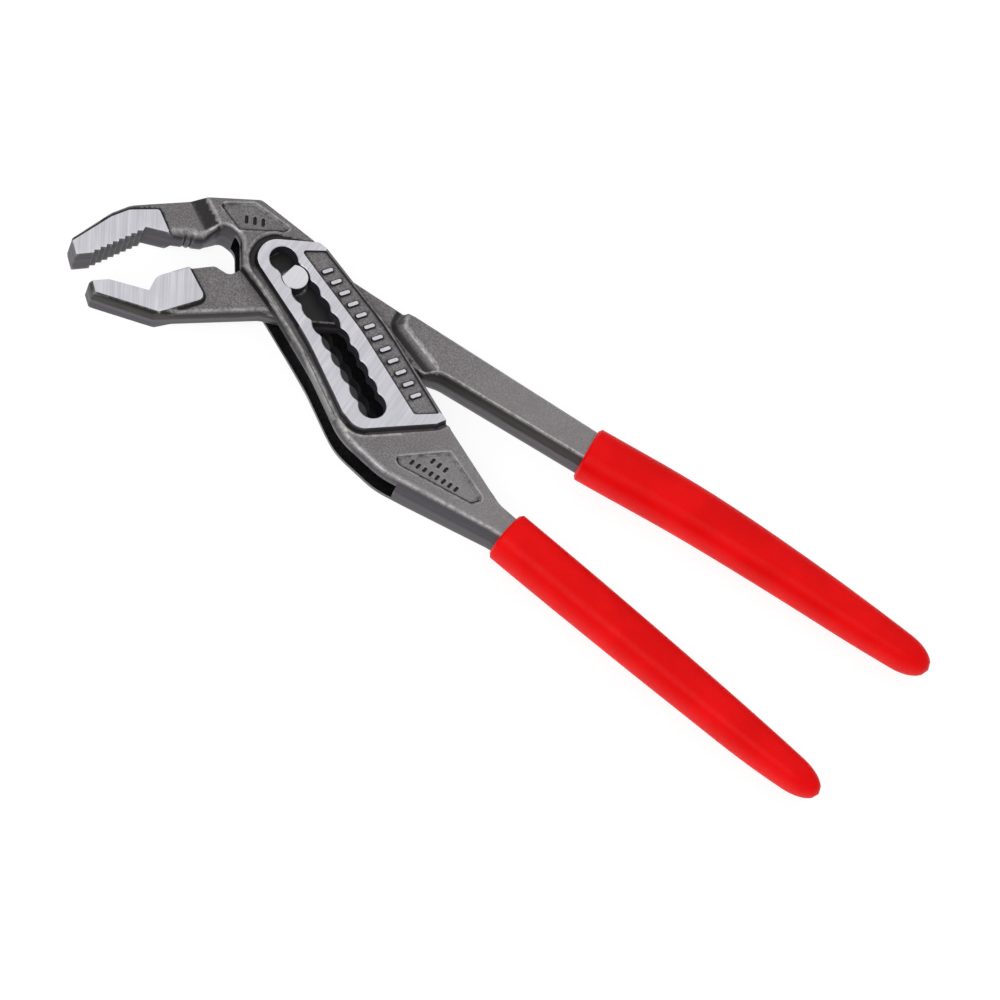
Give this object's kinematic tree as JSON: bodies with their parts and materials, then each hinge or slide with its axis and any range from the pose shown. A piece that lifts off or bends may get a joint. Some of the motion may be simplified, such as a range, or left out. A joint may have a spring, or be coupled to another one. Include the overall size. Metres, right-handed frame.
{
  "type": "tongue and groove pliers",
  "caption": "Box-joint tongue and groove pliers with serrated jaws, a scalloped adjusting groove, a flush joint pin and red dipped grips.",
  "frame": {"origin": "on the joint pin's axis at rest, in the plane of the rear ground faces", "axes": "+X from the jaws towards the handles, +Y towards the back of the upper jaw, +Z out of the front face"},
  "size_m": [0.2496, 0.0793, 0.014],
  "materials": {
    "forged_steel": "blasted forging with ground jaw and box faces",
    "pin_steel": "ground flush",
    "red_pvc": "satin dipped PVC"
  },
  "bodies": {
    "slotted_arm": {"slotted_arm": "forged_steel", "slotted_arm_grip": "red_pvc"},
    "joint_pin": {"joint_pin": "pin_steel"},
    "tongue_arm": {"tongue_arm": "forged_steel", "tongue_arm_grip": "red_pvc"}
  },
  "joints": [
    {"name": "groove_adjust", "type": "slide", "parent": "slotted_arm", "child": "joint_pin", "axis": [0.8241, -0.5664, 0], "range_m": [-0.0058, 0.04096]},
    {"name": "handle_pivot", "type": "hinge", "parent": "joint_pin", "child": "tongue_arm", "pos_m": [0, 0, 0.007], "axis": [0, 0, 1], "range_deg": [-1, 73]}
  ]
}
